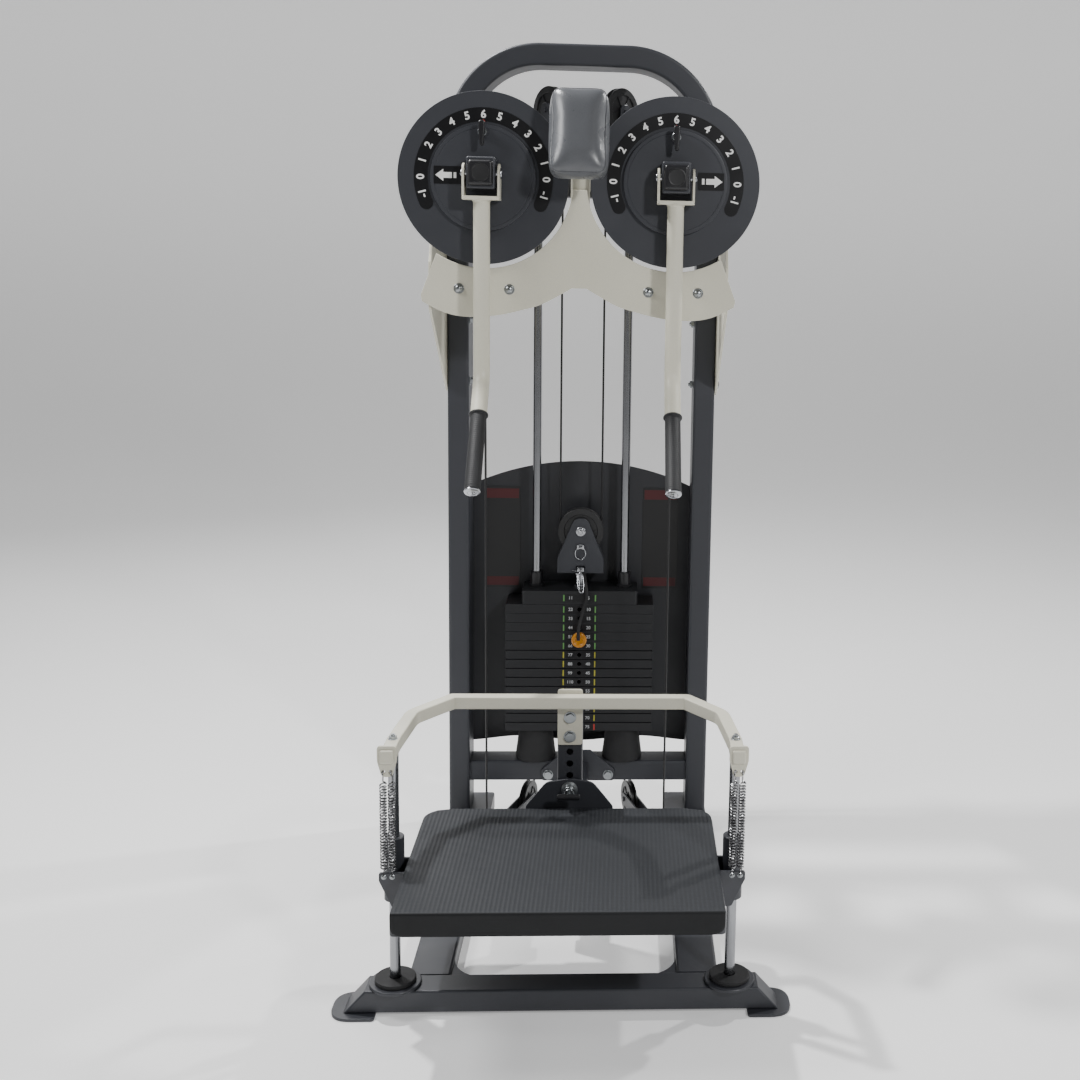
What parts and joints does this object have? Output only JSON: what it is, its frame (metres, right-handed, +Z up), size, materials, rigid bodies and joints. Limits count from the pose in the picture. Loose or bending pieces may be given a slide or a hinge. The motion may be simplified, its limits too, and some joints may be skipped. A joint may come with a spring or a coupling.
{
  "type": "multi station home gym",
  "caption": "Standing lateral-raise gym station with a weight stack, two swinging lever arms on indexed discs, a head pad and a spring-held height-adjustable platform.",
  "frame": {"origin": "on the floor under the middle of the bounding box", "axes": "+Z up; -Y towards the side that the user stands on; +X to the right in the picture"},
  "size_m": [0.87, 1.13, 1.897],
  "materials": {
    "frame_paint": "semi-gloss powder coat",
    "cream_paint": "semi-gloss powder coat",
    "black_iron": "satin",
    "black_plastic": "matte",
    "rubber": "matte",
    "chrome": "polished",
    "steel": "satin",
    "vinyl": "semi-gloss",
    "orange_knob": "gloss",
    "shroud_sheet": "matte powder coat",
    "cable_jacket": "gloss"
  },
  "bodies": {
    "frame": {"front_beam": "frame_paint", "rail_left": "frame_paint", "rail_right": "frame_paint", "base_tie": "frame_paint", "frame_arch": "frame_paint", "stack_crossbeam": "frame_paint", "top_crossbeam": "frame_paint", "side_plate_left": "cream_paint", "side_plate_right": "cream_paint", "front_plate": "cream_paint", "head_beam": "frame_paint", "guide_rod_left": "chrome", "guide_rod_right": "chrome", "stack_bumper_left": "rubber", "stack_bumper_right": "rubber", "rear_shroud": "shroud_sheet", "pad_bracket": "cream_paint", "head_pad": "vinyl", "height_post": "frame_paint", "hand_rail": "cream_paint", "platform_rod_left": "chrome", "platform_rod_right": "chrome", "rod_buffer_left": "rubber", "rod_buffer_right": "rubber", "weight_plates_resting": "black_iron", "cable_left": "cable_jacket", "cable_right": "cable_jacket", "cable_loop": "cable_jacket", "spring_inner_left": "steel", "spring_inner_right": "steel", "spring_outer_left": "steel", "spring_outer_right": "steel"},
    "stack": {"weight_plate_1": "black_iron", "weight_plate_2": "black_iron", "weight_plate_3": "black_iron", "weight_plate_4": "black_iron", "stack_head": "black_iron", "pulley_bracket": "frame_paint", "pin_lanyard": "cable_jacket"},
    "stack_wheel": {"stack_pulley": "black_plastic"},
    "selector": {"selector_pin": "orange_knob"},
    "platform": {"platform_deck": "frame_paint", "platform_mat": "rubber"},
    "platform_lock": {"platform_pin": "steel"},
    "left_cam": {"cam_disc_left": "frame_paint"},
    "left_lever_plate": {"lever_plate_left": "frame_paint"},
    "left_lever": {"lever_arm_left": "cream_paint", "grip_left": "rubber"},
    "left_pin": {"disc_pin_left": "steel"},
    "left_base_front_wheel": {"base_pulley_front_left": "black_plastic"},
    "left_base_rear_wheel": {"base_pulley_rear_left": "black_plastic"},
    "left_top_wheel": {"top_pulley_left": "black_plastic"},
    "right_cam": {"cam_disc_right": "frame_paint"},
    "right_lever_plate": {"lever_plate_right": "frame_paint"},
    "right_lever": {"lever_arm_right": "cream_paint", "grip_right": "rubber"},
    "right_pin": {"disc_pin_right": "steel"},
    "right_base_front_wheel": {"base_pulley_front_right": "black_plastic"},
    "right_base_rear_wheel": {"base_pulley_rear_right": "black_plastic"},
    "right_top_wheel": {"top_pulley_right": "black_plastic"}
  },
  "joints": [
    {"name": "stack_lift", "type": "slide", "parent": "frame", "child": "stack", "axis": [0, 0, 1], "range_m": [0, 0.19], "deforming": ["cable_loop"]},
    {"name": "stack_wheel_turn", "type": "hinge", "parent": "stack", "child": "stack_wheel", "pos_m": [0, 0.47, 0.758], "axis": [0, 1, 0], "continuous": true},
    {"name": "selector_pull", "type": "slide", "parent": "stack", "child": "selector", "axis": [0, -1, 0], "range_m": [0, 0.09], "deforming": ["pin_lanyard"]},
    {"name": "platform_height", "type": "slide", "parent": "frame", "child": "platform", "axis": [0, 0, 1], "range_m": [-0.1, 0.05], "deforming": ["spring_inner_left", "spring_inner_right", "spring_outer_left", "spring_outer_right"]},
    {"name": "platform_lock_pull", "type": "slide", "parent": "platform", "child": "platform_lock", "axis": [0, -1, 0], "range_m": [0, 0.018], "stiffness_N_per_m": 600},
    {"name": "left_cam_turn", "type": "hinge", "parent": "frame", "child": "left_cam", "pos_m": [-0.202, 0.16, 1.577], "axis": [0, 1, 0], "range_deg": [0, 91]},
    {"name": "left_adjust", "type": "hinge", "parent": "left_cam", "child": "left_lever_plate", "pos_m": [-0.202, 0.16, 1.577], "axis": [0, 1, 0], "range_deg": [-15, 105]},
    {"name": "left_swing", "type": "hinge", "parent": "left_lever_plate", "child": "left_lever", "pos_m": [-0.202, 0.1202, 1.585], "axis": [-1, 0, 0], "range_deg": [0, 90]},
    {"name": "left_pin_pull", "type": "slide", "parent": "left_lever_plate", "child": "left_pin", "axis": [0, -1, 0], "range_m": [0, 0.012], "stiffness_N_per_m": 400},
    {"name": "left_base_front_wheel_turn", "type": "hinge", "parent": "frame", "child": "left_base_front_wheel", "pos_m": [-0.19368, 0.29858, 0.058], "axis": [-0.9526, 0.3042, 0], "range_deg": [0, 275]},
    {"name": "left_base_rear_wheel_turn", "type": "hinge", "parent": "frame", "child": "left_base_rear_wheel", "pos_m": [-0.12732, 0.50642, 0.058], "axis": [-0.9526, 0.3042, 0], "range_deg": [0, 275]},
    {"name": "left_top_wheel_turn", "type": "hinge", "parent": "frame", "child": "left_top_wheel", "pos_m": [-0.0825, 0.5075, 1.755], "axis": [-0.7557, -0.6549, 0], "range_deg": [0, 225]},
    {"name": "right_cam_turn", "type": "hinge", "parent": "frame", "child": "right_cam", "pos_m": [0.202, 0.16, 1.577], "axis": [0, -1, 0], "range_deg": [0, 91]},
    {"name": "right_adjust", "type": "hinge", "parent": "right_cam", "child": "right_lever_plate", "pos_m": [0.202, 0.16, 1.577], "axis": [0, -1, 0], "range_deg": [-15, 105]},
    {"name": "right_swing", "type": "hinge", "parent": "right_lever_plate", "child": "right_lever", "pos_m": [0.202, 0.1202, 1.585], "axis": [-1, 0, 0], "range_deg": [0, 90]},
    {"name": "right_pin_pull", "type": "slide", "parent": "right_lever_plate", "child": "right_pin", "axis": [0, -1, 0], "range_m": [0, 0.012], "stiffness_N_per_m": 400},
    {"name": "right_base_front_wheel_turn", "type": "hinge", "parent": "frame", "child": "right_base_front_wheel", "pos_m": [0.19368, 0.29858, 0.058], "axis": [-0.9526, -0.3042, 0], "range_deg": [0, 275]},
    {"name": "right_base_rear_wheel_turn", "type": "hinge", "parent": "frame", "child": "right_base_rear_wheel", "pos_m": [0.12732, 0.50642, 0.058], "axis": [-0.9526, -0.3042, 0], "range_deg": [0, 275]},
    {"name": "right_top_wheel_turn", "type": "hinge", "parent": "frame", "child": "right_top_wheel", "pos_m": [0.0825, 0.5075, 1.755], "axis": [-0.7557, 0.6549, 0], "range_deg": [0, 225]}
  ],
  "couplings": [
    {"joint": "left_cam_turn", "follows": "stack_lift", "rad_per_m": 8.3333},
    {"joint": "left_base_front_wheel_turn", "follows": "stack_lift", "rad_per_m": 24.691},
    {"joint": "left_base_rear_wheel_turn", "follows": "stack_lift", "rad_per_m": 24.691},
    {"joint": "left_top_wheel_turn", "follows": "stack_lift", "rad_per_m": 20.152},
    {"joint": "right_cam_turn", "follows": "stack_lift", "rad_per_m": 8.3333},
    {"joint": "right_base_front_wheel_turn", "follows": "stack_lift", "rad_per_m": 24.691},
    {"joint": "right_base_rear_wheel_turn", "follows": "stack_lift", "rad_per_m": 24.691},
    {"joint": "right_top_wheel_turn", "follows": "stack_lift", "rad_per_m": 20.152}
  ]
}
